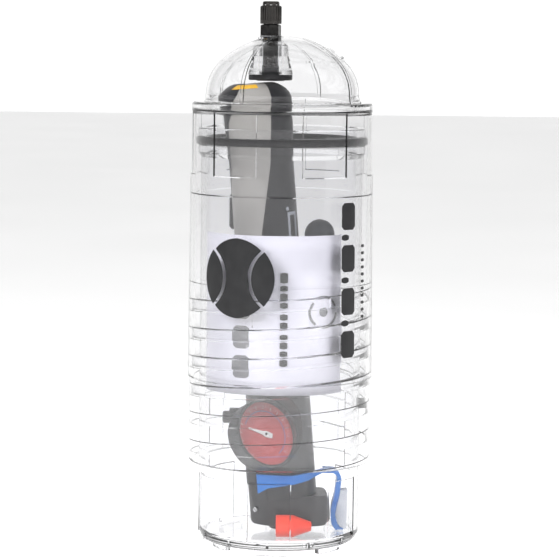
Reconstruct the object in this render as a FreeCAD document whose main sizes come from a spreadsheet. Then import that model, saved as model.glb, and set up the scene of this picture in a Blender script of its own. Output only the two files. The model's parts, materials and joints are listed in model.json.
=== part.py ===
import FreeCAD, Part
import math
import os

import Sketcher
from FreeCAD import Placement, Rotation, Vector

# Clear screw-together ball pressuriser can, with a hand pump and a rolled leaflet stored inside.
# Millimetres, +Z up, origin on the can's axis at the surface it stands on. The front is -Y.
# Angles round the can are in degrees from +X towards +Y.
# Hand pump pieces are drawn in the pump's own frame, upright, then all leaned by one placement.

SIZES = {
    # Inner cup
    "foot_rise": 3.0, "foot_outer": 31.4, "foot_inner": 28.4, "foot_span": 30, "cup_turn": 23,
    "cup_radius": 38.2, "cup_bore": 35.5, "cup_base": 37.35, "floor_top": 6.8, "ledge": 7.1,
    "base_corner": 4.05, "cup_grip_top": 34.8, "grip_span": 30.5, "cup_top": 199.2,
    "rim_radius": 39.4, "rim_bottom": 185.4, "gland_low": 190.9, "gland_high": 195.2,
    "gland_floor": 37.2, "nub_turn": -7.5, "nub_span": 1.8,
    # Screw thread between cup and shell, one start, right hand
    "pitch": 13.4, "rib_tip": 41.85, "rib_root_width": 5.4, "rib_tip_width": 4.4,
    "rib_start": 68.35, "rib_length": 51.5, "groove_floor": 42.25, "groove_mouth_width": 6.3,
    "groove_floor_width": 5.3, "groove_start": 28.15, "groove_length": 95.6, "thread_top": 126.4,
    # Seal ring
    "seal_inner": 37.45, "seal_outer": 40.45, "seal_half": 1.85, "seal_round": 1.4,
    # Outer shell
    "shell_rim": 41.1, "skirt_radius": 43.15, "skirt_top": 81.1, "hub_radius": 43.8,
    "neck_radius": 43.05, "thread_bore": 41.15, "bore": 41.0, "seal_bore": 40.65,
    "seal_bore_low": 168.0, "shell_grip_low": 177.5, "shell_grip_depth": 0.65, "grip_turn": -1.5,
    "shoulder_low": 207.0, "shoulder_top": 211.0, "flange_radius": 42.65, "flange_round": 1.4,
    "dome_radius": 36.3, "dome_spring": 214.5, "dome_height": 27.6, "dome_knuckle": 22,
    "dome_wall": 2.4, "dome_rib_turn": -30.6, "dome_rib_span": 2.6, "dome_rib_rise": 0.7,
    "dome_rib_end": 11, "parting_left": 39.9, "parting_right": -43.6, "parting_span": 0.7,
    "parting_depth": 0.35, "window_edge": 0.4,
    "pad_lean": 34.8, "pad_radius": 4.8, "pad_rise": 0.9,
    # Valve, off the can's axis
    "valve_offset": -5.8, "valve_hole": 4.2, "valve_seat": 241.5, "boss_low": 224.2,
    "boss_top_radius": 8.2, "boss_low_radius": 10.6, "grommet_radius": 10.4, "grommet_low": 221.4,
    "stem_radius": 3.6, "stem_thread": 3.4, "stem_top": 255.6, "stem_low": 221.1,
    "nut_flats": 8.7, "nut_low": 242.2, "nut_top": 247.3, "core_radius": 2.4, "pin_radius": 0.75,
    "cap_radius": 5.05, "cap_bore": 3.6, "cap_low": 247.6, "cap_top": 258.2, "cap_crown": 4.0,
    "cap_ribs": 24,
    # Leaflet
    "leaflet_outer": 35.2, "leaflet_thick": 0.5, "leaflet_low": 76.4, "leaflet_tall": 74,
    "leaflet_span": 146, "leaflet_turn": 102.5,
    # Hand pump
    "grip_radius": 15.3, "grip_low": 84, "grip_top": 211.1, "grip_bore": 12.2,
    "grip_head": 17.7, "grip_head_aside": -1.2, "panel_thick": 1.2, "barrel_radius": 11.5, "barrel_bore": 10.2,
    "barrel_low": 68, "barrel_top": 188, "rod_radius": 3, "piston_low": 70, "piston_thick": 7,
    "head_left": 17.5, "head_right": 20.6, "head_half": 13, "socket_low": 14, "socket_top": 82,
    "collar_radius": 9, "arm_gap": 15.6, "arm_thick": 1.9, "lever_thick": 2.4, "tab_half": 3.6,
    "lever_pivot_u": -8.6, "lever_pivot_w": 23.2, "lever_pin_radius": 1.2,
    "dial_radius": 15.7, "bezel_radius": 16.9, "drum_radius": 16.5, "drum_depth": 8.6,
    "needle_length": 9.5, "button_radius": 2.9, "boss_radius": 4.4, "button_length": 4.8,
    "adapter_radius": 5.2, "adapter_length": 16.6, "case_radius": 7.3, "case_low": 78,
    "case_top": 144, "case_aside": 25.5, "case_behind": 5,
}

PUMP_LEAN = 4.6
PUMP_FOOT = Vector(4.2, 3.0, 9.6)
PUMP_PLACE = Placement(PUMP_FOOT, Rotation(Vector(0, 1, 0), -PUMP_LEAN))
DIAL_CENTRE = Vector(-5.8, -14.0, 55.5)
DIAL_NORMAL = Vector(0.55, -0.75, 0.36)
ADAPTER_CENTRE = Vector(7.2, -17.4, 0)
BUTTON_END = Vector(-26.3, -8.6, 62.5)
BUTTON_PUSH = Vector(1, 0, 0)
NEEDLE_TURN = 194

doc = FreeCAD.newDocument("pressuriser_can")
sheet = doc.addObject("Spreadsheet::Sheet", "Sizes")
for row, (alias, number) in enumerate(SIZES.items(), start=1):
    sheet.set(f"A{row}", alias)
    sheet.set(f"B{row}", str(number))
    sheet.setAlias(f"B{row}", alias)
doc.recompute()
parts = []


def full(expression):
    """The expression with each size's name written as a cell of the sheet."""
    words = []
    word = ""
    for letter in expression + " ":
        if letter.isalnum() or letter == "_":
            word += letter
            continue
        words.append("Sizes." + word if word in SIZES else word)
        words.append(letter)
        word = ""
    return "".join(words).strip()


def size(expression):
    """The value of an expression of sizes."""
    return float(sheet.evalExpression(full(expression)))


def keep(item, name, placement=None):
    """Hands a finished sub-part in under its name."""
    item.Label = name
    if placement is not None:
        item.Placement = placement
    parts.append(item)
    return item


def new_body(name):
    return doc.addObject("PartDesign::Body", name)


def origin_plane(body, role):
    return next(f for f in body.Origin.OriginFeatures if f.Role == role)


def place_value(sketch, kind, geometry, point, expression):
    """One driving constraint of a sketch point, bound to the sheet."""
    number = sketch.addConstraint(Sketcher.Constraint(kind, -1, 1, geometry, point, size(expression)))
    sketch.setExpression(f"Constraints[{number}]", full(expression))


def outline(sketch, corners):
    """A closed outline through corners. A third value on a corner is the radius of the arc that
    leaves it, positive where the arc turns left."""
    points = [Vector(size(corner[0]), size(corner[1]), 0) for corner in corners]
    ends = []
    for index, corner in enumerate(corners):
        start = points[index]
        finish = points[(index + 1) % len(points)]
        if len(corner) == 2:
            sketch.addGeometry(Part.LineSegment(start, finish))
            ends.append((1, 2))
            continue
        radius = size(corner[2])
        chord = finish - start
        side = Vector(-chord.y, chord.x, 0).normalize() * math.copysign(1, radius)
        centre = (start + finish) * 0.5 + side * math.sqrt(radius ** 2 - chord.Length ** 2 / 4)
        circle = Part.Circle(centre, Vector(0, 0, 1), abs(radius))
        first = math.atan2(start.y - centre.y, start.x - centre.x)
        last = math.atan2(finish.y - centre.y, finish.x - centre.x)
        if radius > 0:
            sketch.addGeometry(Part.ArcOfCircle(circle, first, last))
            ends.append((1, 2))
        else:
            sketch.addGeometry(Part.ArcOfCircle(circle, last, first))
            ends.append((2, 1))
    for index in range(len(points)):
        following = (index + 1) % len(points)
        join = Sketcher.Constraint("Coincident", index, ends[index][1], following, ends[following][0])
        sketch.addConstraint(join)
    for index, corner in enumerate(corners):
        if len(corner) == 3:
            radius = Sketcher.Constraint("Radius", index, abs(size(corner[2])))
            number = sketch.addConstraint(radius)
            sketch.setExpression(f"Constraints[{number}]", f"abs({full(corner[2])})")
        place_value(sketch, "DistanceX", index, ends[index][0], corner[0])
        place_value(sketch, "DistanceY", index, ends[index][0], corner[1])


def new_sketch(body, name, corners, role="XZ_Plane", shift=(0, 0, 0), turn=0, lean=0):
    """A sketch of one outline on an origin plane of its body, moved and turned round the Z axis."""
    sketch = body.newObject("Sketcher::SketchObject", name)
    sketch.AttachmentSupport = (origin_plane(body, role), [""])
    sketch.MapMode = "FlatFace"
    turned_by = Rotation(Vector(0, 1, 0), turn) * Rotation(Vector(0, 0, 1), -lean)
    sketch.AttachmentOffset = Placement(Vector(*shift), turned_by)
    outline(sketch, corners)
    return sketch


def turned(body, name, corners, span="360", cut=False, **where):
    """A revolved feature from corners of (radius, height); span is how far it goes round."""
    sketch = new_sketch(body, name + "_outline", corners, **where)
    feature = body.newObject("PartDesign::Groove" if cut else "PartDesign::Revolution", name)
    feature.Profile = sketch
    feature.ReferenceAxis = (sketch, ["V_Axis"])
    feature.Midplane = span != "360"
    feature.Angle = size(span)
    feature.setExpression("Angle", full(span))
    return feature


def padded(body, name, corners, length, role="XZ_Plane", cut=False, middle=True, **where):
    """An extruded feature from an outline on an origin plane."""
    sketch = new_sketch(body, name + "_outline", corners, role, **where)
    feature = body.newObject("PartDesign::Pocket" if cut else "PartDesign::Pad", name)
    feature.Profile = sketch
    feature.Midplane = middle
    feature.Length = size(length)
    feature.setExpression("Length", full(length))
    return feature


def round_the_axis(body, feature, count):
    """Repeats a feature evenly round the body's Z axis."""
    doc.recompute()
    pattern = body.newObject("PartDesign::PolarPattern", feature.Name + "_all")
    pattern.Originals = [feature]
    pattern.Axis = (origin_plane(body, "Z_Axis"), [""])
    pattern.Angle = 360
    pattern.Occurrences = count
    body.Tip = pattern
    doc.recompute()
    return pattern


def threaded(body, name, corners, length, pitch="pitch", cut=False):
    """A right-hand helical rib, groove or coil swept from a section outline."""
    sketch = new_sketch(body, name + "_section", corners)
    feature = body.newObject("PartDesign::SubtractiveHelix" if cut else "PartDesign::AdditiveHelix", name)
    feature.Profile = sketch
    feature.ReferenceAxis = (sketch, ["V_Axis"])
    feature.Mode = 0
    feature.setExpression("Pitch", full(pitch))
    feature.setExpression("Height", full(length))
    feature.LeftHanded = False
    feature.Reversed = False
    doc.recompute()
    return feature


def bevel_windows(body, windows, radius, low, high, end):
    """Bevels the outer edges of shallow windows sunk in a wall, along both sides and at one end."""
    edges = []
    for number, edge in enumerate(windows.Shape.Edges, start=1):
        ends = [vertex.Point for vertex in edge.Vertexes]
        if len(ends) != 2 or abs(math.hypot(ends[0].x, ends[0].y) - radius) > 0.05:
            continue
        heights = sorted(point.z for point in ends)
        upright = abs(heights[0] - low) < 0.2 and abs(heights[1] - high) < 0.2
        across = abs(heights[0] - end) < 0.01 and abs(heights[1] - end) < 0.01 and edge.Length > 10
        if upright or across:
            edges.append(f"Edge{number}")
    bevel = body.newObject("PartDesign::Chamfer", windows.Name + "_bevel")
    bevel.Base = (windows, edges)
    bevel.Size = size("window_edge")
    bevel.setExpression("Size", full("window_edge"))
    doc.recompute()
    print(bevel.Name, len(edges), "edges")
    return bevel


def band(inner, outer, low, high):
    """Corners of a plain rectangle between two radii and two heights."""
    return [(inner, low), (outer, low), (outer, high), (inner, high)]


def turned_part(name, corners, placement=None):
    """A whole sub-part that is one turned outline."""
    body = new_body(name)
    turned(body, name + "_turned", corners)
    return keep(body, name, placement)


def boolean(kind, name, base, tool):
    item = doc.addObject("Part::" + kind, name)
    item.Base = base
    item.Tool = tool
    return item


def inner_cup():
    """Tall clear cup: six arc feet, six shallow grips, male thread, and a rim with the seal's gland."""
    body = new_body("inner_cup")
    turned(body, "cup_wall", [
        ("0", "foot_rise"),
        ("cup_base - base_corner", "foot_rise", "base_corner"),
        ("cup_base", "foot_rise + base_corner"),
        ("cup_base", "ledge + 0.01"),
        ("cup_radius", "ledge + 0.1"),
        ("cup_radius", "rim_bottom"),
        ("rim_radius", "rim_bottom + 2"),
        ("rim_radius", "gland_low"),
        ("gland_floor", "gland_low"),
        ("gland_floor", "gland_high"),
        ("rim_radius", "gland_high"),
        ("rim_radius", "cup_top - 0.8", "0.8"),
        ("rim_radius - 0.8", "cup_top"),
        ("cup_bore + 0.6", "cup_top"),
        ("cup_bore", "cup_top - 0.6"),
        ("cup_bore", "floor_top + 2", "-2"),
        ("cup_bore - 2", "floor_top"),
        ("0", "floor_top"),
    ])
    doc.recompute()
    grip = band("cup_base", "cup_radius + 1", "ledge - 1", "cup_grip_top")
    grips = turned(body, "cup_grip", grip, "grip_span", cut=True, turn=size("cup_turn"))
    windows = round_the_axis(body, grips, 6)
    low, high = size("ledge"), size("cup_grip_top")
    bevel_windows(body, windows, size("cup_radius"), low, high, high)
    foot = band("foot_inner", "foot_outer", "0", "foot_rise + 0.5")
    feet = turned(body, "foot", foot, "foot_span", turn=size("cup_turn"))
    round_the_axis(body, feet, 6)
    nub = band("cup_base - 1.2", "cup_base + 0.55", "ledge - 2.6", "ledge + 0.5")
    nubs = turned(body, "nub", nub, "nub_span", turn=size("nub_turn"))
    round_the_axis(body, nubs, 12)
    threaded(body, "cup_thread", [
        ("cup_radius - 0.6", "rib_start - rib_root_width / 2"),
        ("rib_tip", "rib_start - rib_tip_width / 2"),
        ("rib_tip", "rib_start + rib_tip_width / 2"),
        ("cup_radius - 0.6", "rib_start + rib_root_width / 2"),
    ], "rib_length")
    keep(body, "inner_cup")


def seal_ring():
    """Rubber ring in the cup's gland, squeezed to a rounded oblong section."""
    middle = "(gland_low + gland_high) / 2"
    low = f"{middle} - seal_half"
    high = f"{middle} + seal_half"
    turned_part("seal_ring", [
        ("seal_inner + seal_round", low),
        ("seal_outer - seal_round", low, "seal_round"),
        ("seal_outer", f"{low} + seal_round"),
        ("seal_outer", f"{high} - seal_round", "seal_round"),
        ("seal_outer - seal_round", high),
        ("seal_inner + seal_round", high, "seal_round"),
        ("seal_inner", f"{high} - seal_round"),
        ("seal_inner", f"{low} + seal_round", "seal_round"),
    ])


# The dome is a crown arc that runs smoothly into a tighter knuckle arc at its foot.
CROWN = "((dome_height^2 + (dome_radius - dome_knuckle)^2 - dome_knuckle^2) / (2 * (dome_height - dome_knuckle)))"
CROWN_CENTRE = f"(dome_spring + dome_height - {CROWN})"


def dome_joint(rise):
    """Where the crown meets the knuckle on a surface that stands off the dome by rise."""
    reach = f"(({CROWN} + {rise}) / ({CROWN} - dome_knuckle))"
    return f"{reach} * (dome_radius - dome_knuckle)", f"{CROWN_CENTRE} + {reach} * ({CROWN} - dome_height)"


def on_crown(radius, rise):
    """Height of the crown, raised by rise, at a radius from the axis."""
    return f"{CROWN_CENTRE} + sqrt(({CROWN} + {rise})^2 - {radius}^2)"


def outer_shell():
    """Clear pressure shell: threaded sleeve, shoulder and ribbed dome with the valve's boss."""
    body = new_body("outer_shell")
    outer_joint = dome_joint("0")
    inner_joint = dome_joint("0 - dome_wall")
    turned(body, "shell_wall", [
        ("thread_bore + 0.6", "shell_rim"),
        ("skirt_radius - 1", "shell_rim", "1"),
        ("skirt_radius", "shell_rim + 1"),
        ("skirt_radius", "skirt_top"),
        ("hub_radius", "skirt_top + 0.5"),
        ("neck_radius + 0.2", "thread_top + 20"),
        ("neck_radius", "shell_grip_low - 2"),
        ("neck_radius", "shoulder_low"),
        ("flange_radius", "shoulder_low + 0.01"),
        ("flange_radius", "shoulder_top - flange_round", "flange_round"),
        ("flange_radius - flange_round", "shoulder_top"),
        ("dome_radius + 1.2", "shoulder_top", "-0.8"),
        ("dome_radius + 0.4", "shoulder_top + 0.8"),
        ("dome_radius", "dome_spring", "dome_knuckle"),
        (*outer_joint, CROWN),
        ("0", "dome_spring + dome_height"),
        ("0", "dome_spring + dome_height - dome_wall", f"0 - ({CROWN} - dome_wall)"),
        (*inner_joint, "0 - (dome_knuckle - dome_wall)"),
        ("dome_radius - dome_wall", "dome_spring"),
        ("dome_radius - dome_wall", "shoulder_low + 1", "1"),
        ("dome_radius - dome_wall + 1", "shoulder_low"),
        ("seal_bore - 1.5", "shoulder_low", "-1.5"),
        ("seal_bore", "shoulder_low - 1.5"),
        ("seal_bore", "seal_bore_low + 0.5"),
        ("bore", "seal_bore_low"),
        ("bore", "thread_top + 0.3"),
        ("thread_bore", "thread_top"),
        ("thread_bore", "shell_rim + 0.8"),
    ])
    doc.recompute()
    grip = band("neck_radius - shell_grip_depth", "neck_radius + 1", "shell_grip_low", "shoulder_low")
    grips = turned(body, "shell_grip", grip, "grip_span", cut=True, turn=size("grip_turn"))
    windows = round_the_axis(body, grips, 6)
    low, high = size("shell_grip_low"), size("shoulder_low")
    bevel_windows(body, windows, size("neck_radius"), low, high, low)
    parting = band("thread_bore - 1", "thread_bore + parting_depth", "shell_rim - 1", "skirt_top - 2")
    for side in ("parting_left", "parting_right"):
        lines = turned(body, side, parting, "parting_span", cut=True, turn=size(side))
        round_the_axis(body, lines, 2)
    rib_joint = dome_joint("dome_rib_rise")
    rib_root = dome_joint("0 - 0.6")
    rib = [
        ("dome_radius - 0.6", "shoulder_top - 0.3"),
        ("dome_radius + dome_rib_rise + 0.5", "shoulder_top - 0.3"),
        ("dome_radius + dome_rib_rise", "dome_spring", "dome_knuckle + dome_rib_rise"),
        (*rib_joint, f"{CROWN} + dome_rib_rise"),
        ("dome_rib_end", on_crown("dome_rib_end", "dome_rib_rise")),
        ("dome_rib_end", on_crown("dome_rib_end", "0 - 0.6"), f"0 - ({CROWN} - 0.6)"),
        (*rib_root, "0 - (dome_knuckle - 0.6)"),
        ("dome_radius - 0.6", "dome_spring"),
    ]
    ribs = turned(body, "dome_rib", rib, "dome_rib_span", turn=size("dome_rib_turn"))
    round_the_axis(body, ribs, 4)
    valve = (size("valve_offset"), 0, 0)
    turned(body, "valve_boss", [
        ("0", "boss_low"),
        ("boss_low_radius", "boss_low"),
        ("boss_low_radius", "boss_low + 1"),
        ("boss_top_radius + 0.4", "boss_low + 8"),
        ("boss_top_radius", "valve_seat - 4"),
        ("6", "valve_seat - 2"),
        ("6", "valve_seat"),
        ("0", "valve_seat"),
    ], shift=valve)
    doc.recompute()
    turned(body, "valve_spot_face", band("0", "6.3", "valve_seat", "valve_seat + 5"), cut=True, shift=valve)
    doc.recompute()
    hole = band("0", "valve_hole", "boss_low - 1", "valve_seat + 5")
    turned(body, "valve_opening", hole, cut=True, shift=valve)
    doc.recompute()
    crown_centre = (0, size(CROWN_CENTRE), 0)
    pad_edge = f"sqrt(({CROWN} + pad_rise)^2 - pad_radius^2)"
    turned(body, "dome_pad", [
        ("0", f"{CROWN} - 1"),
        ("pad_radius", f"{CROWN} - 1"),
        ("pad_radius", pad_edge, f"{CROWN} + pad_rise"),
        ("0", f"{CROWN} + pad_rise"),
    ], shift=crown_centre, lean=size("pad_lean"))
    doc.recompute()
    threaded(body, "shell_thread", [
        ("thread_bore - 0.8", "groove_start - groove_mouth_width / 2"),
        ("groove_floor", "groove_start - groove_floor_width / 2"),
        ("groove_floor", "groove_start + groove_floor_width / 2"),
        ("thread_bore - 0.8", "groove_start + groove_mouth_width / 2"),
    ], "groove_length", cut=True)
    keep(body, "outer_shell")


def spring(name, radius, wire, low, tall, pitch, placement):
    """A coil spring of round wire, standing on its body's Z axis."""
    body = new_body(name)
    bend = str(1.001 * wire)
    section = [(str(radius - wire), str(low), bend), (str(radius + wire), str(low), bend)]
    threaded(body, name + "_coil", section, str(tall), pitch=str(pitch))
    keep(body, name, placement)


def valve():
    """Car-type valve through the dome, with its screw cap."""
    place = Placement(Vector(size("valve_offset"), 0, 0), Rotation())
    turned_part("valve_grommet", [
        ("6.7", "grommet_low"),
        ("grommet_radius - 0.8", "grommet_low", "0.8"),
        ("grommet_radius", "grommet_low + 0.8"),
        ("grommet_radius", "boss_low - 0.1"),
        ("valve_hole - 0.08", "boss_low - 0.1"),
        ("valve_hole - 0.08", "boss_low + 3"),
        ("stem_radius + 0.1", "boss_low + 3.6"),
        ("stem_radius + 0.1", "stem_low + 1.7"),
        ("6.7", "stem_low + 1.7"),
    ], place)
    turned_part("valve_stem", [
        ("1.5", "stem_low"),
        ("6.5", "stem_low"),
        ("6.5", "stem_low + 1.6"),
        ("stem_radius", "stem_low + 1.6"),
        ("stem_radius", "nut_top + 0.2"),
        ("stem_thread", "nut_top + 0.4"),
        ("stem_thread", "stem_top - 0.5"),
        ("stem_thread - 0.5", "stem_top"),
        ("2.6", "stem_top"),
        ("2.6", "valve_seat + 0.6"),
        ("2.1", "valve_seat + 0.4"),
        ("2.1", "valve_seat - 7"),
        ("1.5", "valve_seat - 7.4"),
    ], place)
    turned_part("valve_washer", band("stem_radius + 0.1", "5.2", "valve_seat + 0.02", "nut_low - 0.05"), place)
    nut = new_body("valve_nut")
    half = "nut_flats / 2"
    side = "nut_flats / 2 * tan(30 deg)"
    corner = "nut_flats / 2 / cos(30 deg)"
    hexagon = [
        (f"0 - ({side})", f"0 - {half}"), (side, f"0 - {half}"), (corner, "0"),
        (side, half), (f"0 - ({side})", half), (f"0 - ({corner})", "0"),
    ]
    padded(nut, "nut_block", hexagon, "nut_top - nut_low", role="XY_Plane", middle=False,
           shift=(0, 0, size("nut_low")))
    doc.recompute()
    turned(nut, "nut_bore", band("0", "stem_radius + 0.05", "nut_low - 1", "nut_top + 1"), cut=True)
    doc.recompute()
    turned(nut, "nut_bevel", [
        ("nut_flats / 2 - 0.2", "nut_top + 0.1"),
        ("nut_flats / 2 + 1.6", "nut_top - 1.1"),
        ("nut_flats / 2 + 1.6", "nut_top + 0.1"),
    ], cut=True)
    doc.recompute()
    keep(nut, "valve_nut", place.multiply(Placement(Vector(), Rotation(Vector(0, 0, 1), 15))))
    turned_part("valve_core", [
        ("pin_radius + 0.1", "valve_seat + 0.9"),
        ("core_radius - 0.3", "valve_seat + 0.9"),
        ("core_radius", "valve_seat + 1.4"),
        ("core_radius", "stem_top - 1.2"),
        ("pin_radius + 0.1", "stem_top - 1.2"),
    ], place)
    turned_part("valve_pin", [
        ("0", "valve_seat - 1.2"),
        ("1.7", "valve_seat - 1.2"),
        ("1.7", "valve_seat + 0.8"),
        ("pin_radius", "valve_seat + 0.8"),
        ("pin_radius", "stem_top - 0.6"),
        ("0", "stem_top - 0.6"),
    ], place)
    spring("valve_spring", 1.4, 0.26, size("valve_seat - 6.4"), 4.8, 0.96, place)
    cap = new_body("valve_cap")
    turned(cap, "cap_wall", [
        ("cap_bore + 0.3", "cap_low"),
        ("cap_radius - 0.4", "cap_low", "0.4"),
        ("cap_radius", "cap_low + 0.4"),
        ("cap_radius", "cap_top - 2.6"),
        ("cap_radius - 0.5", "cap_top - 2.1"),
        ("cap_crown", "cap_top - 2"),
        ("cap_crown", "cap_top - 0.9", "0.9"),
        ("cap_crown - 0.9", "cap_top"),
        ("0", "cap_top"),
        ("0", "cap_top - 1.6"),
        ("cap_bore", "cap_top - 1.6"),
        ("cap_bore", "cap_low + 0.4"),
    ])
    doc.recompute()
    flute = band("cap_radius - 0.35", "cap_radius + 1", "cap_low + 1.6", "cap_top - 2.4")
    flutes = turned(cap, "cap_flute", flute, "150 / cap_ribs", cut=True)
    round_the_axis(cap, flutes, int(size("cap_ribs")))
    notch = band("cap_crown - 0.5", "cap_crown + 1", "cap_top - 1.9", "cap_top + 1")
    notches = turned(cap, "cap_notch", notch, "18", cut=True)
    round_the_axis(cap, notches, 8)
    keep(cap, "valve_cap", place)
    turned_part("cap_liner", band("0", "cap_bore - 0.15", "stem_top + 0.1", "cap_top - 1.8"), place)


def leaflet():
    """Folded instruction sheet, sprung open against the cup's bore, with its gap at the back."""
    body = new_body("leaflet")
    sheet_band = band("leaflet_outer - leaflet_thick", "leaflet_outer", "leaflet_low", "leaflet_low + leaflet_tall")
    turned(body, "leaflet_roll", sheet_band, "leaflet_span", turn=-size("leaflet_turn"))
    keep(body, "leaflet")


def grip_outline(inset, low, bore):
    """Half outline of the pump's grip, with its surface taken in by inset."""
    return [
        (bore, low),
        (f"grip_radius - {inset}", low),
        (f"grip_radius - {inset}", "172"),
        (f"grip_radius + 0.9 - {inset}", "190"),
        (f"grip_radius + 1 - {inset}", "203"),
        ("0", "203"),
    ]


def head_outline(inset):
    """Half outline of the grip's flared head, taken in by inset."""
    return [
        ("0", "197.2"),
        (f"grip_radius + 0.2 - {inset}", "197.2"),
        (f"grip_head - {inset}", "202"),
        (f"grip_head - {inset}", "203.5", f"12 - {inset}"),
        (f"9 - {inset}", f"grip_top - {inset}"),
        ("0", f"grip_top - {inset}"),
    ]


def pump_grip():
    """Black grip that slides on the barrel, with a grey panel let into it on a slant."""
    outer = new_body("grip_outer")
    hollow = grip_outline("0", "grip_low", "grip_bore") + [("0", "197"), ("grip_bore", "197")]
    turned(outer, "grip_turned", hollow)
    core = new_body("grip_core")
    turned(core, "grip_core_turned", grip_outline("panel_thick", "grip_low - 5", "0"))
    doc.recompute()
    aside = (size("grip_head_aside"), 0, 0)
    turned(outer, "grip_head_turned", head_outline("0"), shift=aside)
    turned(core, "core_head_turned", head_outline("panel_thick"), shift=aside)
    doc.recompute()
    # Edges of the panel as angles at three heights, from its lower end to the top of the grip
    edges = [(116, -200, -112), (143, -180, -95), (173, -155, -73), (193, -148, -68), (204, -121, -66),
             (216, -118, -64)]
    sections = []
    for height, first, last in edges:
        rim = []
        for step in range(5):
            angle = math.radians(first + (last - first) * step / 4)
            rim.append(Vector(40 * math.cos(angle), 40 * math.sin(angle), height))
        sections.append(Part.makePolygon([Vector(0, 0, height), *rim, Vector(0, 0, height)]))
    wedge = doc.addObject("Part::Feature", "panel_wedge")
    wedge.Shape = Part.makeLoft(sections, True, True)
    skin = boolean("Cut", "grip_skin", outer, core)
    panel = boolean("Common", "grip_panel", skin, wedge)
    grip = boolean("Cut", "pump_grip", outer, wedge_skin(core, wedge))
    keep(grip, "pump_grip", PUMP_PLACE)
    keep(panel, "grip_panel", PUMP_PLACE)


def wedge_skin(core, wedge):
    """The pocket for the panel: the wedge less the grip's core."""
    return boolean("Cut", "panel_pocket", wedge, core)


def pump_barrel():
    """Aluminium barrel with the rod, piston and guide inside it, handle pushed in."""
    turned_part("pump_barrel", band("barrel_bore", "barrel_radius", "barrel_low", "barrel_top"), PUMP_PLACE)
    turned_part("piston_rod", band("0", "rod_radius", "piston_low + piston_thick + 0.1", "196.9"), PUMP_PLACE)
    turned_part("pump_piston", [
        ("0", "piston_low"),
        ("barrel_bore - 0.15", "piston_low"),
        ("barrel_bore - 0.15", "piston_low + 2"),
        ("barrel_bore - 1.8", "piston_low + 2"),
        ("barrel_bore - 1.8", "piston_low + 5"),
        ("barrel_bore - 0.15", "piston_low + 5"),
        ("barrel_bore - 0.15", "piston_low + piston_thick"),
        ("0", "piston_low + piston_thick"),
    ], PUMP_PLACE)
    ring = band("barrel_bore - 1.7", "barrel_bore - 0.05", "piston_low + 2.2", "piston_low + 4.8")
    turned_part("piston_ring", ring, PUMP_PLACE)
    turned_part("rod_guide", [
        ("rod_radius + 0.1", "barrel_top - 6"),
        ("barrel_bore - 0.05", "barrel_top - 6"),
        ("barrel_bore - 0.05", "barrel_top + 0.1"),
        ("barrel_radius", "barrel_top + 0.1"),
        ("barrel_radius", "barrel_top + 1.6"),
        ("rod_radius + 0.1", "barrel_top + 1.6"),
    ], PUMP_PLACE)


def cylinder(name, radius, length, place):
    """A plain cylinder with its radius and length bound to the sheet."""
    item = doc.addObject("Part::Cylinder", name)
    item.setExpression("Radius", full(radius))
    item.setExpression("Height", full(length))
    item.Placement = place
    return item


def pump_head():
    """Black head: a boot under a round socket for the barrel, a pocket for the gauge and an air way."""
    socket = new_body("head_socket")
    turned(socket, "socket", [
        ("0", "socket_low"),
        ("grip_radius", "socket_low"),
        ("grip_radius", "socket_top"),
        ("barrel_radius + 0.1", "socket_top"),
        ("barrel_radius + 0.1", "barrel_low - 0.1"),
        ("0", "barrel_low - 0.1"),
    ])
    side = new_body("boot_side")
    left = "0 - head_left"
    padded(side, "boot_profile", [
        (f"{left} + 0.5", "4.8", "2.5"),
        (f"{left} + 2.4", "2.8"),
        ("0 - 3", "0.9"),
        ("6", "0"),
        ("head_right - 4", "0", "4"),
        ("head_right", "4"),
        ("head_right", "11.6", "2.5"),
        ("head_right - 2.5", "14.1"),
        ("4", "15"),
        ("0", "38"),
        ("0 - 13", "44"),
        (left, "36"),
        (left, "20"),
    ], "40")
    plan = new_body("boot_plan")
    padded(plan, "boot_outline", [
        (f"{left} + 9", "0 - head_half"),
        ("head_right - 6", "0 - head_half", "6"),
        ("head_right", "6 - head_half"),
        ("head_right", "head_half - 6", "6"),
        ("head_right - 6", "head_half"),
        (f"{left} + 9", "head_half", "9"),
        (left, "head_half - 9"),
        (left, "9 - head_half", "9"),
    ], "60", role="XY_Plane", middle=False)
    solid = boolean("Fuse", "head_solid", socket, boolean("Common", "boot", side, plan))
    chuck_seat = cylinder("chuck_seat", "6.1", "10", Placement(Vector(0, 0, -1), Rotation()))
    neck = cylinder("air_neck", "1.5", "6", Placement(Vector(0, 0, 8), Rotation()))
    riser = cylinder("air_riser", "1.2", "barrel_low", Placement(Vector(0, 8.5, 12), Rotation()))
    link = cylinder("air_link", "1.2", "8.5", Placement(Vector(0, 0, 13), Rotation(Vector(1, 0, 0), -90)))
    pin_hole = cylinder("head_pin_hole", "lever_pin_radius", "60", lever_axis(5))
    drum = cylinder("drum_room", "bezel_radius + 0.12", "drum_depth + 18",
                    in_pump(dial_place()).multiply(Placement(Vector(0, 0, -size("drum_depth") - 0.12), Rotation())))
    boss = cylinder("boss_room", "boss_radius + 0.12", "12",
                    in_pump(button_place()).multiply(Placement(Vector(0, 0, 3), Rotation())))
    for number, room in enumerate((chuck_seat, neck, riser, link, pin_hole, drum, boss)):
        solid = boolean("Cut", f"head_cut_{number}", solid, room)
    keep(solid, "pump_head", PUMP_PLACE)


def in_pump(place):
    """A placement in the can's frame, seen from the pump's own frame."""
    return PUMP_PLACE.inverse().multiply(place)


def dial_place():
    return Placement(DIAL_CENTRE, Rotation(Vector(0, 0, 1), DIAL_NORMAL))


def button_place():
    return Placement(BUTTON_END, Rotation(Vector(0, 0, 1), BUTTON_PUSH))


def lever_axis(reach):
    """The lever's hinge line in the pump's frame, starting reach behind the middle."""
    start = Vector(size("lever_pivot_u"), reach, size("lever_pivot_w"))
    return Placement(start, Rotation(Vector(1, 0, 0), 90))


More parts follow.
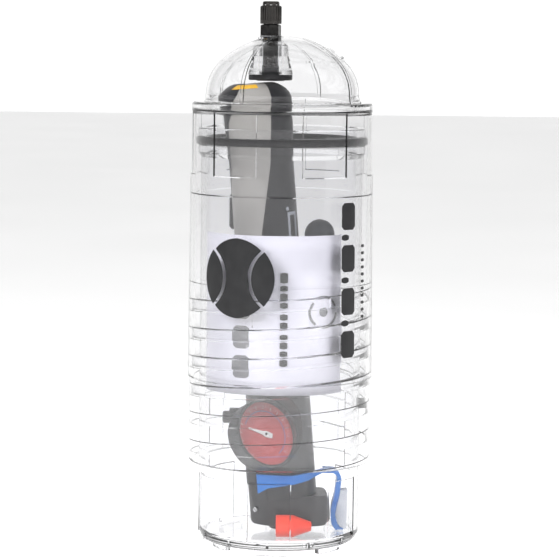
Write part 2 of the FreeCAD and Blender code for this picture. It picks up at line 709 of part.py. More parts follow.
def chuck():
    """Screw collar at the foot of the head, with the rubber that grips a valve."""
    turned_part("chuck_collar", [
        ("3.4", "0 - 1.3"),
        ("collar_radius - 0.6", "0 - 1.3"),
        ("collar_radius", "0 - 0.8"),
        ("collar_radius", "0 - 0.1"),
        ("6", "0 - 0.1"),
        ("6", "4"),
        ("5.2", "4"),
        ("5.2", "0 - 0.3"),
        ("3.4", "0 - 0.3"),
    ], PUMP_PLACE)
    turned_part("chuck_seal", band("2.8", "5.1", "0 - 0.2", "4"), PUMP_PLACE)
    turned_part("check_valve", [
        ("0.6", "4.6"),
        ("5.6", "4.6"),
        ("5.6", "6.2"),
        ("2.4", "8.6"),
        ("0.6", "8.6"),
    ], PUMP_PLACE)


def lever():
    """Blue thumb lever: a strap round the head's front from a hinge pin, with a padded tab on the right."""
    profile = new_body("lever_profile")
    padded(profile, "lever_shape", [
        ("0 - 12.4", "18.2"),
        ("0 - 7.4", "20.4"),
        ("4", "21.2"),
        ("12", "22.2"),
        ("18.6", "24.3"),
        ("23.2", "23.4", "-3"),
        ("24.9", "18.6"),
        ("23.9", "13.5"),
        ("21.9", "8"),
        ("21.1", "4"),
        ("21.3", "0 - 1.2"),
        ("23", "0 - 4.2"),
        ("26.6", "0 - 4.2"),
        ("24.1", "0 - 1.4"),
        ("23.4", "3"),
        ("24.3", "7"),
        ("26.3", "12.6"),
        ("27.4", "18.4", "6"),
        ("24.6", "25.2"),
        ("18", "26.2"),
        ("12", "25.6"),
        ("4", "25.4"),
        ("0 - 12.4", "27.4"),
    ], "50")
    outer = new_body("lever_plan")
    reach = "arm_gap + arm_thick"
    padded(outer, "lever_outline", [
        ("0 - 14", f"0 - ({reach})"),
        ("0", f"0 - ({reach})", reach),
        (f"({reach}) * sin(55 deg)", f"0 - ({reach}) * cos(55 deg)"),
        ("24", "0 - tab_half"),
        ("32", "0 - tab_half"),
        ("32", "tab_half"),
        ("0 - 14", "tab_half"),
    ], "80", role="XY_Plane")
    inner = new_body("lever_room")
    padded(inner, "lever_room_outline", [
        ("0 - 20", "0 - arm_gap"),
        ("0", "0 - arm_gap", "arm_gap"),
        ("arm_gap * sin(60 deg)", "0 - arm_gap * cos(60 deg)"),
        ("19", "0 - 3.6"),
        ("19", "12"),
        ("0 - 20", "12"),
    ], "80", role="XY_Plane")
    shape = boolean("Common", "lever_solid", profile, outer)
    hollow = boolean("Cut", "lever_arm", shape, inner)
    hole = cylinder("lever_hole", "lever_pin_radius + 0.08", "arm_gap + 1.2", lever_axis(0))
    keep(boolean("Cut", "thumb_lever", hollow, hole), "thumb_lever", PUMP_PLACE)

    pad = new_body("lever_pad")
    padded(pad, "pad_plate", [
        ("24.25", "0 - 1.25"),
        ("26.75", "0 - 4.05"),
        ("28.3", "0 - 4.05"),
        ("30.2", "14.6"),
        ("26.8", "14.6"),
        ("26.45", "12.6"),
        ("24.45", "7"),
        ("23.55", "3"),
    ], "2 * tab_half - 0.4")
    keep(pad, "lever_pad", PUMP_PLACE)

    pin = cylinder("lever_pin", "lever_pin_radius", "arm_gap + 5.9", lever_axis(4.9))
    keep(pin, "lever_pin", PUMP_PLACE.multiply(pin.Placement))


def screws():
    """Two small pan-head screws, one each side of the boot's rounded left end."""
    heads = []
    for side in (-1, 1):
        out = Vector(-0.61, side * 0.79, 0).normalize()
        seat = Vector(9 - size("head_left"), side * (size("head_half") - 9), 9.7) + out * 9.02
        head = Part.makeCylinder(1.15, 0.8, seat, out)
        slot = Part.makeBox(0.5, 3, 0.4, Vector(-0.25, -1.5, 0.5))
        slot.Placement = Placement(seat, Rotation(Vector(0, 0, 1), out))
        heads.append(head.cut(slot))
    item = doc.addObject("Part::Feature", "head_screws")
    item.Shape = Part.makeCompound(heads)
    keep(item, "head_screws", PUMP_PLACE)


def gauge():
    """Round pressure gauge let into the head's left side, tilted up to be read."""
    place = dial_place()
    drum = new_body("drum")
    turned(drum, "drum_turned", [
        ("0", "0 - drum_depth"),
        ("drum_radius - 2", "0 - drum_depth", "2"),
        ("drum_radius", "2 - drum_depth"),
        ("drum_radius", "0 - 1.5"),
        ("bezel_radius - 0.3", "0 - 1.3"),
        ("0", "0 - 1.3"),
    ])
    drum.Placement = place
    boss = cylinder("button_boss", "boss_radius", "8",
                    button_place().multiply(Placement(Vector(0, 0, 3.2), Rotation())))
    hollow = cylinder("dial_room", "dial_radius + 0.1", "drum_depth",
                      place.multiply(Placement(Vector(0, 0, 1 - size("drum_depth")), Rotation())))
    bore = cylinder("button_bore", "button_radius + 0.1", "8", button_place())
    solid = boolean("Fuse", "drum_and_boss", drum, boss)
    for number, room in enumerate((hollow, bore)):
        solid = boolean("Cut", f"drum_cut_{number}", solid, room)
    keep(solid, "gauge_housing")
    turned_part("gauge_bezel", [
        ("dial_radius + 0.2", "0 - 1.2"),
        ("bezel_radius", "0 - 1.2"),
        ("bezel_radius", "0.9", "0.8"),
        ("bezel_radius - 0.8", "1.7"),
        ("dial_radius - 0.3", "1.5"),
        ("dial_radius - 0.3", "1.2"),
        ("dial_radius + 0.2", "1.2"),
    ], place)
    turned_part("gauge_lens", band("0", "dial_radius + 0.1", "0.1", "1.1"), place)
    turned_part("gauge_dial", band("0.8", "dial_radius", "0 - 2.4", "0 - 1.7"), place)
    turned_part("bourdon_tube", band("9.2", "11.4", "0 - 6.6", "0 - 3.6"), place)
    turned_part("needle_arbor", band("0", "0.6", "0 - 7.2", "0 - 0.4"), place)
    needle = new_body("gauge_needle")
    padded(needle, "needle_blade", [
        ("0 - 3.6", "0 - 1.1"), ("0", "0 - 1.5"), ("1.6", "0 - 0.9"), ("needle_length", "0 - 0.25"),
        ("needle_length", "0.25"), ("1.6", "0.9"), ("0", "1.5"), ("0 - 3.6", "1.1"),
    ], "0.5", role="XY_Plane", middle=False, shift=(0, 0, -1.2))
    doc.recompute()
    turned(needle, "needle_eye", band("0", "0.61", "0 - 3", "1"), cut=True)
    keep(needle, "gauge_needle", place.multiply(Placement(Vector(), Rotation(Vector(0, 0, 1), NEEDLE_TURN))))


def release_button():
    """Round push button that bleeds air, in a boss on the gauge's drum."""
    turned_part("release_button", [
        ("0", "0"),
        ("button_radius - 0.7", "0", "0.7"),
        ("button_radius", "0.7"),
        ("button_radius", "button_length"),
        ("0", "button_length"),
    ], button_place())
    spring("button_spring", 1.9, 0.3, 5.2, 2.4, 0.96, button_place())


def adapter():
    """Loose cone adapter lying on the cup's floor."""
    turned_part("cone_adapter", [
        ("1.2", "0"),
        ("adapter_radius - 0.6", "0", "0.6"),
        ("adapter_radius", "0.6"),
        ("adapter_radius", "8"),
        ("adapter_radius - 0.7", "10"),
        ("2.4", "adapter_length - 0.8", "0.8"),
        ("1.7", "adapter_length"),
        ("1.2", "adapter_length"),
    ], Placement(Vector(-1.1, ADAPTER_CENTRE.y, size("floor_top + adapter_radius + 0.05")),
                 Rotation(Vector(0, 1, 0), 90)))


def needle_case():
    """Round-ended case for ball needles, standing beside the pump behind the leaflet."""
    aside, behind = size("case_aside"), size("case_behind")
    place = PUMP_PLACE.multiply(Placement(Vector(aside, behind, 0), Rotation()))
    turned_part("case_body", [
        ("0", "case_low"),
        ("case_radius - 1", "case_low", "1"),
        ("case_radius", "case_low + 1"),
        ("case_radius", "118"),
        ("0", "118"),
    ], place)
    turned_part("case_cap", [
        ("0", "118.1"),
        ("case_radius", "118.1"),
        ("case_radius", "case_top - case_radius", "case_radius"),
        ("0", "case_top"),
    ], place)
    clip = new_body("clip_blank")
    middle = math.degrees(math.atan2(behind, aside))
    turned(clip, "clip_web", band("grip_radius + 0.1", "20", "100", "108"), "40", turn=-middle)
    doc.recompute()
    shift = (aside, 0, -behind)
    turned(clip, "clip_ring", band("case_radius + 0.1", "case_radius + 1.6", "100", "108"), "230",
           shift=shift, turn=-middle - 180)
    doc.recompute()
    turned(clip, "clip_bore", band("0", "case_radius + 0.1", "95", "112"), cut=True, shift=shift)
    doc.recompute()
    keep(clip, "case_clip", PUMP_PLACE)


inner_cup()
seal_ring()
outer_shell()
valve()
leaflet()
pump_grip()
pump_barrel()
pump_head()
chuck()
lever()
screws()
gauge()
release_button()
adapter()
needle_case()
doc.recompute()

for item in doc.Objects:
    if "Invalid" in item.State or "Error" in item.State:
        raise RuntimeError(f"{item.Label} is {item.State}")
for item in parts:
    if item.Shape.isNull() or not item.Shape.isValid():
        raise RuntimeError(f"{item.Label} has no valid shape")
os.makedirs("parts", exist_ok=True)
for item in parts:
    item.Shape.exportStep(f"parts/{item.Label}.step")
    box = item.Shape.optimalBoundingBox(False, False)
    print(f"{item.Label}: {len(item.Shape.Solids)} solid, {item.Shape.Volume:.1f} mm3, "
          f"x {box.XMin:.1f} to {box.XMax:.1f}, y {box.YMin:.1f} to {box.YMax:.1f}, "
          f"z {box.ZMin:.1f} to {box.ZMax:.1f}")
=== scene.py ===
import json
import math

import bmesh
import bpy
from mathutils import Matrix, Vector


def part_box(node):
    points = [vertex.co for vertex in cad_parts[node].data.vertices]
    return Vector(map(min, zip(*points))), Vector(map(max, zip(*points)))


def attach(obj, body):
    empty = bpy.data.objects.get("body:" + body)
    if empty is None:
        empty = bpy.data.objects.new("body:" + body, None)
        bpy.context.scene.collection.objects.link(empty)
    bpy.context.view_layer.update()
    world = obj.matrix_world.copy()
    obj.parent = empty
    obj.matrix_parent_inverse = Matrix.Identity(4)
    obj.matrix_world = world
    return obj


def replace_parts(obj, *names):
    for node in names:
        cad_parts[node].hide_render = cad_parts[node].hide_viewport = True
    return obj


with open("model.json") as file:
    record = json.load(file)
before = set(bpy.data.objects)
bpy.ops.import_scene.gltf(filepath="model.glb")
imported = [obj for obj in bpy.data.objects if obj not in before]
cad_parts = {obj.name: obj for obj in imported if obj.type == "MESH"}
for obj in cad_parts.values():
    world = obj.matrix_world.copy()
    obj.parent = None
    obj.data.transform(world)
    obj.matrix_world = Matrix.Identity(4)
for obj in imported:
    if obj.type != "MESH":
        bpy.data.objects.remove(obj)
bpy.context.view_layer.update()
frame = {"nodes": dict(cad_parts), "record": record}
NODES = frame["nodes"]
MM = 0.001


# ---------------------------------------------------------------- materials

class Paint:
    """A node material on a Principled shader, with its texture nodes in object space."""

    def __init__(self, name, colour, roughness, **sockets):
        self.material = bpy.data.materials.new(name)
        self.material.use_nodes = True
        self.tree = self.material.node_tree
        self.shader = self.tree.nodes["Principled BSDF"]
        self.shader.inputs["Base Color"].default_value = (*colour, 1)
        self.shader.inputs["Roughness"].default_value = roughness
        for socket, value in sockets.items():
            self.shader.inputs[socket.replace("_", " ")].default_value = value
        self.colour = colour
        self.where = self.node("ShaderNodeTexCoord").outputs["Object"]
        self.height = None

    def node(self, kind):
        return self.tree.nodes.new(kind)

    def link(self, source, target):
        self.tree.links.new(source, target)

    def noise(self, scale, detail=3.0, stretch=(1, 1, 1)):
        """Noise of about one patch per 1/scale metres, stretched along an axis by a small factor."""
        mapping = self.node("ShaderNodeMapping")
        mapping.inputs["Scale"].default_value = stretch
        self.link(self.where, mapping.inputs["Vector"])
        texture = self.node("ShaderNodeTexNoise")
        texture.inputs["Scale"].default_value = scale
        texture.inputs["Detail"].default_value = detail
        self.link(mapping.outputs["Vector"], texture.inputs["Vector"])
        return texture.outputs["Fac"]

    def between(self, factor, low, high):
        """A value that runs from low to high as factor crosses the middle of its range."""
        spread = self.node("ShaderNodeMapRange")
        spread.inputs["From Min"].default_value = 0.3
        spread.inputs["From Max"].default_value = 0.7
        spread.inputs["To Min"].default_value = low
        spread.inputs["To Max"].default_value = high
        self.link(factor, spread.inputs["Value"])
        return spread.outputs["Result"]

    def mottle(self, scale, other, stretch=(1, 1, 1), detail=3.0):
        """The colour drifts between the base and another, patch by patch."""
        ramp = self.node("ShaderNodeValToRGB")
        ramp.color_ramp.elements[0].position = 0.35
        ramp.color_ramp.elements[0].color = (*self.colour, 1)
        ramp.color_ramp.elements[1].position = 0.68
        ramp.color_ramp.elements[1].color = (*other, 1)
        self.link(self.noise(scale, detail, stretch), ramp.inputs["Fac"])
        self.link(ramp.outputs["Color"], self.shader.inputs["Base Color"])
        return self

    def gloss(self, scale, low, high, stretch=(1, 1, 1)):
        self.link(self.between(self.noise(scale, 4.0, stretch), low, high), self.shader.inputs["Roughness"])
        return self

    def bump(self, scale, depth, strength=0.5, stretch=(1, 1, 1), detail=3.0):
        """Fine relief of depth metres, laid over any relief already there."""
        relief = self.node("ShaderNodeBump")
        relief.inputs["Strength"].default_value = strength
        relief.inputs["Distance"].default_value = depth
        self.link(self.noise(scale, detail, stretch), relief.inputs["Height"])
        if self.height is not None:
            self.link(self.height, relief.inputs["Normal"])
        self.height = relief.outputs["Normal"]
        self.link(self.height, self.shader.inputs["Normal"])
        return self

    def clear_shadow(self, tint):
        """Lets light through to what is inside: shadow rays pass with a slight tint."""
        output = self.tree.nodes["Material Output"]
        passing = self.node("ShaderNodeBsdfTransparent")
        passing.inputs["Color"].default_value = (*tint, 1)
        mixed = self.node("ShaderNodeMixShader")
        self.link(self.node("ShaderNodeLightPath").outputs["Is Shadow Ray"], mixed.inputs[0])
        self.link(self.shader.outputs[0], mixed.inputs[1])
        self.link(passing.outputs[0], mixed.inputs[2])
        self.link(mixed.outputs[0], output.inputs["Surface"])
        return self


def clear_plastic(name, tint, wave):
    made = Paint(name, tint, 0.02, Transmission_Weight=1.0, IOR=1.46)
    made.gloss(60, 0.005, 0.05, (1, 1, 0.3)).bump(18, wave, 0.35, (1, 1, 0.35))
    return made.clear_shadow((0.97, 0.97, 0.975))


PAINTS = {
    "clear_plastic": clear_plastic("clear_shell", (0.968, 0.968, 0.972), 0.00012),
    "cup_plastic": clear_plastic("clear_cup", (0.962, 0.962, 0.972), 0.00012),
    "gauge_window": clear_plastic("gauge_window", (0.98, 0.98, 0.98), 0.00003),
    "black_rubber": Paint("black_rubber", (0.012, 0.012, 0.013), 0.5).mottle(90, (0.02, 0.02, 0.021))
    .gloss(300, 0.38, 0.6).bump(900, 0.00005),
    "black_metal": Paint("black_metal", (0.018, 0.017, 0.017), 0.3, Metallic=0.6, Coat_Weight=0.2)
    .mottle(200, (0.035, 0.034, 0.033)).gloss(400, 0.22, 0.42).bump(1500, 0.00003),
    "steel": Paint("bright_steel", (0.62, 0.62, 0.63), 0.25, Metallic=1.0)
    .mottle(400, (0.5, 0.5, 0.52)).gloss(500, 0.18, 0.34).bump(1200, 0.00002),
    "brass": Paint("turned_brass", (0.68, 0.5, 0.22), 0.28, Metallic=1.0)
    .mottle(300, (0.55, 0.4, 0.18)).gloss(500, 0.2, 0.36).bump(1200, 0.00002),
    "aluminium": Paint("drawn_aluminium", (0.72, 0.73, 0.75), 0.3, Metallic=1.0)
    .mottle(200, (0.62, 0.63, 0.66), (1, 1, 0.05)).gloss(300, 0.22, 0.4)
    .bump(700, 0.00003, 0.5, (1, 1, 0.04)),
    "black_plastic": Paint("black_plastic", (0.014, 0.014, 0.016), 0.42).mottle(40, (0.028, 0.028, 0.031))
    .gloss(250, 0.32, 0.5).bump(2600, 0.00006, 0.6),
    "cap_plastic": Paint("cap_plastic", (0.014, 0.013, 0.012), 0.36).mottle(160, (0.03, 0.027, 0.025))
    .gloss(500, 0.28, 0.46).bump(2600, 0.00004),
    "black_grip": Paint("black_grip", (0.012, 0.012, 0.014), 0.46, Sheen_Weight=0.15)
    .mottle(30, (0.024, 0.024, 0.027)).gloss(120, 0.36, 0.55).bump(2200, 0.00007, 0.6),
    "grey_panel": Paint("grey_panel", (0.27, 0.262, 0.25), 0.4).mottle(45, (0.34, 0.33, 0.315))
    .gloss(200, 0.32, 0.5).bump(2400, 0.00005),
    "blue_plastic": Paint("blue_plastic", (0.006, 0.10, 0.37), 0.34).mottle(70, (0.012, 0.14, 0.44))
    .gloss(250, 0.26, 0.42).bump(2200, 0.00004),
    "grey_pad": Paint("grey_pad", (0.36, 0.38, 0.43), 0.5).mottle(90, (0.44, 0.46, 0.5))
    .gloss(250, 0.42, 0.6).bump(1500, 0.00008),
    "red_dial": Paint("red_dial", (0.46, 0.03, 0.042), 0.55).mottle(420, (0.58, 0.09, 0.095), detail=5.0)
    .gloss(300, 0.45, 0.65).bump(1500, 0.00003),
    "white_needle": Paint("white_needle", (0.82, 0.82, 0.8), 0.45).mottle(600, (0.7, 0.7, 0.69))
    .gloss(500, 0.38, 0.55).bump(1500, 0.00002),
    "red_plastic": Paint("red_plastic", (0.66, 0.03, 0.012), 0.35,
                         Subsurface_Weight=0.15, Subsurface_Scale=0.002)
    .mottle(110, (0.74, 0.06, 0.03)).gloss(250, 0.28, 0.44).bump(1800, 0.00004),
    "dark_plastic": Paint("dark_plastic", (0.022, 0.023, 0.027), 0.5).mottle(60, (0.04, 0.042, 0.048))
    .gloss(250, 0.4, 0.6).bump(2000, 0.00006),
    "paper": Paint("leaflet_paper", (0.64, 0.635, 0.7), 0.6)
    .mottle(22, (0.72, 0.71, 0.78)).gloss(300, 0.5, 0.7).bump(1400, 0.00006, 0.5, (1, 1, 1), 6.0),
    "black_ink": Paint("black_ink", (0.006, 0.006, 0.007), 0.35).mottle(200, (0.012, 0.012, 0.013))
    .gloss(400, 0.28, 0.42).bump(1600, 0.00002),
    # Grey for the leaflet's printed ring, and for the painted shade letters laid on its paper.
    "grey_ink_and_painted_shade": Paint("grey_ink_and_painted_shade", (0.1, 0.1, 0.11), 0.5).mottle(200, (0.14, 0.14, 0.15))
    .gloss(400, 0.42, 0.6).bump(1600, 0.00002),
    "blue_ink": Paint("blue_ink", (0.12, 0.12, 0.3), 0.5).mottle(300, (0.18, 0.16, 0.34))
    .gloss(400, 0.42, 0.6).bump(1600, 0.00002),
    "yellow_ink": Paint("yellow_ink", (0.72, 0.4, 0.04), 0.4).mottle(300, (0.8, 0.5, 0.08))
    .gloss(400, 0.32, 0.5).bump(1600, 0.00002),
}


def coat(piece, paint):
    """Gives a piece one material on all its faces."""
    piece.data.materials.clear()
    piece.data.materials.append(PAINTS[paint].material)


PAINT_OF_NODE = {"inner_cup": "cup_plastic", "valve_cap": "cap_plastic", "needle_arbor": "black_metal"}
for entry in frame["record"]["subparts"]:
    node = entry["node"]
    coat(NODES[node], PAINT_OF_NODE.get(node, entry["material_slot"]))


# ---------------------------------------------------------------- mesh helpers

def piece_from(name, mesh, paint, body):
    """A finished piece: its mesh in the row's frame, its material and body."""
    made = bpy.data.objects.new(name, mesh)
    bpy.context.scene.collection.objects.link(made)
    coat(made, paint)
    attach(made, body)
    return made


def sheet_mesh(name, grids, smooth=False):
    """A mesh of four-sided faces between the neighbouring points of each grid."""
    mesh = bpy.data.meshes.new(name)
    shape = bmesh.new()
    for grid in grids:
        rows = [[shape.verts.new(point) for point in line] for line in grid]
        for lower, upper in zip(rows, rows[1:]):
            for a, b, c, d in zip(lower, lower[1:], upper[1:], upper):
                shape.faces.new((a, b, c, d)).smooth = smooth
    shape.normal_update()
    shape.to_mesh(mesh)
    shape.free()
    return mesh


def wrapped(points, face, centre_angle, height):
    """Flat points (across, up) in mm, laid round a face whose radius depends on height.
    Angle 0 is the front, positive to the right."""
    placed = []
    for across, up in points:
        radius = face(height + up)
        angle = math.radians(centre_angle) + across / radius
        placed.append(Vector((math.sin(angle) * radius, -math.cos(angle) * radius, height + up)) * MM)
    return placed


def strip_grid(outline_low, outline_high, columns, rows):
    """A grid of flat points between two edge functions of 0 to 1."""
    grid = []
    for row in range(rows + 1):
        share = row / rows
        line = []
        for column in range(columns + 1):
            low = outline_low(column / columns)
            high = outline_high(column / columns)
            line.append((low[0] + (high[0] - low[0]) * share, low[1] + (high[1] - low[1]) * share))
        grid.append(line)
    return grid


def print_grids(name, grids, face, angle, height, paint, body):
    """Ink patches, and patches of painted shade, as one thin piece that follows a round face."""
    laid = [[wrapped(line, face, angle, height) for line in grid] for grid in grids]
    piece_from(name, sheet_mesh(name, laid), paint, body)


def bar(left, right, low, high, rounding=0.0):
    """A bar with slightly rounded ends, as a grid, for print and for painted shade."""
    width = right - left
    columns = max(2, int(width / 1.5))
    rows = max(1, int((high - low) / 3))

    def inset(share):
        edge = min(share, 1 - share) * width
        if edge >= rounding or rounding == 0:
            return 0
        return rounding - math.sqrt(max(rounding ** 2 - (rounding - edge) ** 2, 0))

    return strip_grid(lambda t: (left + width * t, low + inset(t)),
                      lambda t: (left + width * t, high - inset(t)), columns, rows)


def band_between(radius_low, radius_high, first, last, steps=24):
    """A printed arc band between two radii and two angles in degrees."""
    def point(radius, share):
        angle = math.radians(first + (last - first) * share)
        return radius * math.cos(angle), radius * math.sin(angle)

    return strip_grid(lambda t: point(radius_low, t), lambda t: point(radius_high, t), steps, 2)


# ---------------------------------------------------------------- printed marks on the shell

INK_LIFT = 0.05
SKIRT_TOP, NECK_TALL = 146.4, 29.1
SKIRT_LOW, SKIRT_TALL = 81.6, 64.8


def shell_face(height):
    """Radius of the sleeve just off its surface, which narrows slightly upwards."""
    if height < SKIRT_TOP:
        return 43.8 - (height - SKIRT_LOW) / SKIRT_TALL * 0.55 + INK_LIFT
    return 43.25 - (height - SKIRT_TOP) / NECK_TALL * 0.2 + INK_LIFT


def ball_emblem(size):
    """A plain ball: a disc with its two bowed seams left clear, as three patches."""
    seam_centre = 1.2 * size
    seam_radius = 0.85 * size
    half_gap = 0.05 * size
    meet = 0.698 * size

    def edge(up):
        return math.sqrt(max(size ** 2 - up ** 2, 0))

    def seam(up):
        return min(seam_centre - math.sqrt(max(seam_radius ** 2 - up ** 2, 0)), edge(up))

    def patch(left_of, right_of, reach, rows=28, columns=10):
        grid = []
        for row in range(rows + 1):
            up = reach * math.sin(math.pi * (row / rows - 0.5))
            left, right = left_of(up), max(right_of(up), left_of(up))
            grid.append([(left + (right - left) * column / columns, up) for column in range(columns + 1)])
        return grid

    return [patch(lambda up: -max(seam(up) - half_gap, 0), lambda up: max(seam(up) - half_gap, 0), size),
            patch(lambda up: -edge(up), lambda up: -min(seam(up) + half_gap, edge(up)), meet),
            patch(lambda up: min(seam(up) + half_gap, edge(up)), edge, meet)]


def outlined(half_width, low, high, line):
    """A hollow printed box, as four bars."""
    return [bar(-half_width, -half_width + line, low, high), bar(half_width - line, half_width, low, high),
            bar(-half_width, half_width, low, low + line), bar(-half_width, half_width, high - line, high)]


print_grids("emblem_print", ball_emblem(18.5), shell_face, -28, 131, "black_ink", "shell")

# A column of plain bars beside a finer dashed line, and what shows of the same print on the far side
bars = [bar(-4.5, 4.5, low, low + 12.5, 1.6) for low in (-36, -16, 4, 23.5)]
bars += [bar(-4.5, 0.2, low, low + 2.8, 0.6) for low in (-21.2, -1.2, 18.6)]
print_grids("scale_print", bars, shell_face, 46.3, 129.7, "black_ink", "shell")
dashes = [bar(-1.5, 1.5, -18 + step * 3.3, -16.4 + step * 3.3, 0.3) for step in range(11)]
print_grids("dash_print", dashes, shell_face, 61.3, 129.4, "black_ink", "shell")
rear_bar = [bar(-2.6, 2.6, -10, 8, 1.6)]
print_grids("rear_print", rear_bar, shell_face, 217, 158, "black_ink", "shell")


# ---------------------------------------------------------------- leaflet

def leaflet():
    """Folded paper sprung against the cup, its right edge rolled in on itself."""
    low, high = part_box("leaflet")
    middle_radius = 34.7
    steps, rows = 120, 10
    first, last = -85, 60
    curl_start, curl_depth = 0.84, 3.4
    lines = []
    for row in range(rows + 1):
        share = row / rows
        up = low.z + (high.z - low.z) * share
        line = []
        for step in range(steps + 1):
            angle = math.radians(first + (last - first) * step / steps)
            wave = 0.18 * math.sin(5 * angle + 0.6) + 0.1 * math.sin(11 * angle + 2 * share)
            curl = max(step / steps - curl_start, 0) / (1 - curl_start)
            radius = (middle_radius - wave - curl_depth * curl ** 2) * MM
            line.append((math.sin(angle) * radius, -math.cos(angle) * radius, up))
        lines.append(line)
    sheet = sheet_mesh("leaflet_sheet", [lines], smooth=True)
    made = piece_from("leaflet_sheet", sheet, "paper", "cup")
    thick = made.modifiers.new("thickness", "SOLIDIFY")
    thick.thickness = 0.24 * MM
    thick.offset = 0
    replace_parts(made, "leaflet")


leaflet()


def paper_face(height):
    """Radius of the paper's outer side, just off its surface."""
    return 35.0


# Painted shade: these grey blocks and dashes are dim copies of the sleeve's far-side letters where they show
# on the paper, painted on rather than printed.
blocks = [bar(-4.1, 4.1, low, low + 10.6, 1.2) for low in (-26, -12.2, 1.6, 15.4)]
print_grids("leaflet_painted_shade_blocks", blocks, paper_face, -29.7, 110, "grey_ink_and_painted_shade", "cup")
lines = [bar(-1.7, 1.7, -11.5 + step * 2.6, -9.9 + step * 2.6, 0.3) for step in range(9)]
print_grids("leaflet_painted_shade_dashes", lines, paper_face, -18.3, 119, "grey_ink_and_painted_shade", "cup")
title_edges = ((-22, -18.6), (-17.6, -14.8), (-14, -10.6), (-9.6, -7), (-4.6, -1.4), (-0.6, 2.4), (5, 7.8),
               (8.8, 12), (12.8, 15.6), (16.6, 21.6))
title = [bar(-1.7, 1.7, low, high, 0.4) for low, high in title_edges]
print_grids("leaflet_title", title, paper_face, 2.6, 112, "black_ink", "cup")
ring = [band_between(6.4, 7.6, 20 + part * 120, 115 + part * 120, 16) for part in range(3)]
ring.append(band_between(0.0, 2.2, 0, 360, 24))
print_grids("leaflet_ring", ring, paper_face, 33.3, 115, "grey_ink_and_painted_shade", "cup")


# ---------------------------------------------------------------- seal in the cup's gland

def seal_ring():
    """The ring's section, squeezed a little flat, and just clear of the wall."""
    low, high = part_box("seal_ring")
    middle = (low.z + high.z) / 2
    half = (high.z - low.z) / 2 * 0.98
    inner, outer = 37.5 * MM, 40.55 * MM
    around, section = 180, 20
    flat = 0.72
    mesh = bpy.data.meshes.new("seal_ring_soft")
    shape = bmesh.new()
    rings = []
    for step in range(around):
        turn = 2 * math.pi * step / around
        ring = []
        for part in range(section):
            angle = 2 * math.pi * part / section
            across = math.copysign(abs(math.cos(angle)) ** flat, math.cos(angle))
            up = math.copysign(abs(math.sin(angle)) ** flat, math.sin(angle))
            radius = (inner + outer) / 2 + (outer - inner) / 2 * across
            place = (radius * math.cos(turn), radius * math.sin(turn), middle + half * up)
            ring.append(shape.verts.new(place))
        rings.append(ring)
    for index, ring in enumerate(rings):
        following = rings[(index + 1) % around]
        for part in range(section):
            after = (part + 1) % section
            shape.faces.new((ring[part], following[part], following[after], ring[after])).smooth = True
    bmesh.ops.recalc_face_normals(shape, faces=shape.faces)
    shape.to_mesh(mesh)
    shape.free()
    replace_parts(piece_from("seal_ring_soft", mesh, "black_rubber", "seal"), "seal_ring")


seal_ring()


# ---------------------------------------------------------------- marks on the pump's grip

PUMP = Matrix.Translation((0.0042, 0.003, 0.0096)) @ Matrix.Rotation(math.radians(-4.6), 4, "Y")


GRIP_FACE = 15.36


def grip_marks(name, grids, angle, height, paint, profile, aside=0.0):
    """Ink on the grip, in the pump's own leaning frame. profile gives the grip's radius at a height."""
    def place(across, up):
        radius = profile(height + up)
        turn = math.radians(angle) + across / GRIP_FACE
        return PUMP @ (Vector((math.sin(turn) * radius + aside, -math.cos(turn) * radius, height + up)) * MM)

    laid = [[[place(across, up) for across, up in line] for line in grid] for grid in grids]
    piece_from(name, sheet_mesh(name, laid), paint, "cup")


def top_of_grip(height):
    """Radius of the grip's rounded top, a hair above it: an arc from the head's edge to the flat."""
    arc_radius, lift = 12, 0.08
    start, end = Vector((17.7, 203.5)), Vector((9.0, 211.1))
    chord = end - start
    inward = Vector((-chord.y, chord.x)).normalized()
    centre = (start + end) / 2 + inward * math.sqrt(arc_radius ** 2 - chord.length ** 2 / 4)
    return centre.x + math.sqrt(max((arc_radius + lift) ** 2 - (height - centre.y) ** 2, 0))


def straight_grip(height):
    """Radius just off the straight part of the grip."""
    return GRIP_FACE


grip_marks("grip_window_mark", outlined(3.4, -14, 9.6, 1.5), 57, 140, "grey_pad", straight_grip)
dot = [band_between(0.0, 0.95, 0, 360, 20)]
grip_marks("grip_dot_mark", dot, 45, 151.2, "grey_pad", straight_grip)
arc = strip_grid(lambda t: (-8.5 + 15 * t, -0.9), lambda t: (-7 + 13 * t, 0.9), 14, 4)
grip_marks("grip_top_mark", [arc], -14, 209.6, "yellow_ink", top_of_grip, -1.2)


# ---------------------------------------------------------------- gauge dial

def dial_frame():
    """The dial's plane from its hinge: centre, two directions in the plane, and the normal."""
    joint = next(j for j in frame["record"]["behaviour"]["joints"] if j["name"] == "needle_swing")
    normal = -Vector(joint["axis"]).normalized()
    side = Vector((0, 0, 1)).cross(normal).normalized()
    return Vector(joint["pos_m"]), side, normal.cross(side), normal


def dial_marks(name, grids, paint):
    """Ink on the dial's face, a hair above it."""
    sink = 1.66
    centre, side, up, normal = dial_frame()

    def place(x, y):
        return centre + (side * x + up * y - normal * sink) * MM

    laid = [[[place(x, y) for x, y in line] for line in grid] for grid in grids]
    piece_from(name, sheet_mesh(name, laid), paint, "cup")


def tick(angle, inner, outer, width):
    turn = Matrix.Rotation(math.radians(angle), 2)
    corners = [turn @ Vector(p) for p in ((inner, -width), (outer, -width), (inner, width), (outer, width))]
    return [[tuple(corners[0]), tuple(corners[1])], [tuple(corners[2]), tuple(corners[3])]]


dial_marks("dial_ring", [band_between(11.0, 11.5, -60, 150, 60)], "blue_ink")
dial_marks("dial_ticks", [tick(a, 12.4, 14.0, 0.14) for a in range(-45, 226, 18)], "white_needle")
fine_ticks = [tick(a, 13.2, 14.0, 0.07) for a in range(-45, 226, 6) if (a + 45) % 18]
dial_marks("dial_fine_ticks", fine_ticks, "white_needle")


# ---------------------------------------------------------------- studio

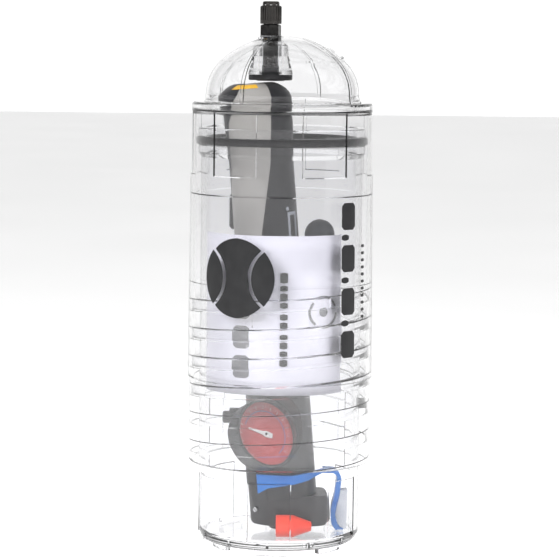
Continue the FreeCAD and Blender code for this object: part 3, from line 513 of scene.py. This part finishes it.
def area_light(name, place, target, power, width, height):
    data = bpy.data.lights.new(name, "AREA")
    data.shape = "RECTANGLE"
    data.size, data.size_y = width, height
    data.energy = power
    lamp = bpy.data.objects.new(name, data)
    lamp.location = place
    lamp.rotation_euler = (Vector(target) - Vector(place)).to_track_quat("-Z", "Y").to_euler()
    lamp.visible_glossy = False
    lamp.visible_transmission = False
    bpy.context.scene.collection.objects.link(lamp)


def grey_ramp(tree, position, stops):
    """Greys set at positions from 0 to 1."""
    ramp = tree.nodes.new("ShaderNodeValToRGB")
    elements = ramp.color_ramp.elements
    while len(elements) < len(stops):
        elements.new(0.5)
    for element, (place, grey) in zip(elements, stops):
        element.position = place
        element.color = (grey, grey, grey, 1)
    tree.links.new(position, ramp.inputs["Fac"])
    return ramp.outputs["Color"]


def floor():
    """One plain pale floor, the same all over."""
    mesh = bpy.data.meshes.new("studio_floor")
    shape = bmesh.new()
    reach = 6.0
    ends = ((-reach, -reach), (reach, -reach), (reach, reach), (-reach, reach))
    corners = [shape.verts.new((x, y, -0.0002)) for x, y in ends]
    shape.faces.new(corners)
    shape.to_mesh(mesh)
    shape.free()
    made = bpy.data.objects.new("studio_floor", mesh)
    bpy.context.scene.collection.objects.link(made)
    white = Paint("floor_white", (0.8, 0.8, 0.8), 0.6, Emission_Color=(1, 1, 1, 1), Emission_Strength=0.6)
    white.mottle(3, (0.83, 0.83, 0.83)).gloss(4, 0.55, 0.65)
    made.data.materials.append(white.material)


floor()
world = bpy.data.worlds.new("studio")
bpy.context.scene.world = world
world.use_nodes = True


def studio_world(tree):
    """A lit white wall behind the object, falling off round the sides to a dim room in front."""
    split = tree.nodes.new("ShaderNodeSeparateXYZ")
    tree.links.new(tree.nodes.new("ShaderNodeTexCoord").outputs["Generated"], split.inputs[0])
    across = tree.nodes.new("ShaderNodeMapRange")
    across.inputs["From Min"].default_value = -1.0
    tree.links.new(split.outputs["Y"], across.inputs["Value"])
    stops = [(0.0, 0.02), (0.2, 0.03), (0.5, 0.07), (0.75, 0.2), (0.9, 0.6), (0.97, 1.0)]
    back = tree.nodes["Background"]
    tree.links.new(grey_ramp(tree, across.outputs["Result"], stops), back.inputs["Color"])
    back.inputs["Strength"].default_value = 1.12


studio_world(world.node_tree)
for name, spot, watts, wide, tall in (("key_left", (-0.8, -1.0, 0.7), 22, 0.5, 0.8),
                                      ("fill_right", (0.9, -0.9, 0.5), 13, 0.5, 0.8),
                                      ("top_soft", (0.1, -0.4, 1.3), 5, 0.8, 0.6)):
    area_light(name, spot, (0, 0, 0.12), watts, wide, tall)


def camera():
    data = bpy.data.cameras.new("camera")
    data.lens = 175.0
    data.sensor_width = 36.0
    made = bpy.data.objects.new("camera", data)
    made.location = (-0.0005, -1.2825, 0.2492)
    aim = Vector((-0.0005, 0, 0.1270)) - made.location
    made.rotation_mode = "QUATERNION"
    roll = Matrix.Rotation(math.radians(0.6), 3, "Z").to_quaternion()
    made.rotation_quaternion = aim.to_track_quat("-Z", "Y") @ roll
    bpy.context.scene.collection.objects.link(made)
    bpy.context.scene.camera = made


camera()
bpy.context.scene.view_settings.view_transform = "Standard"
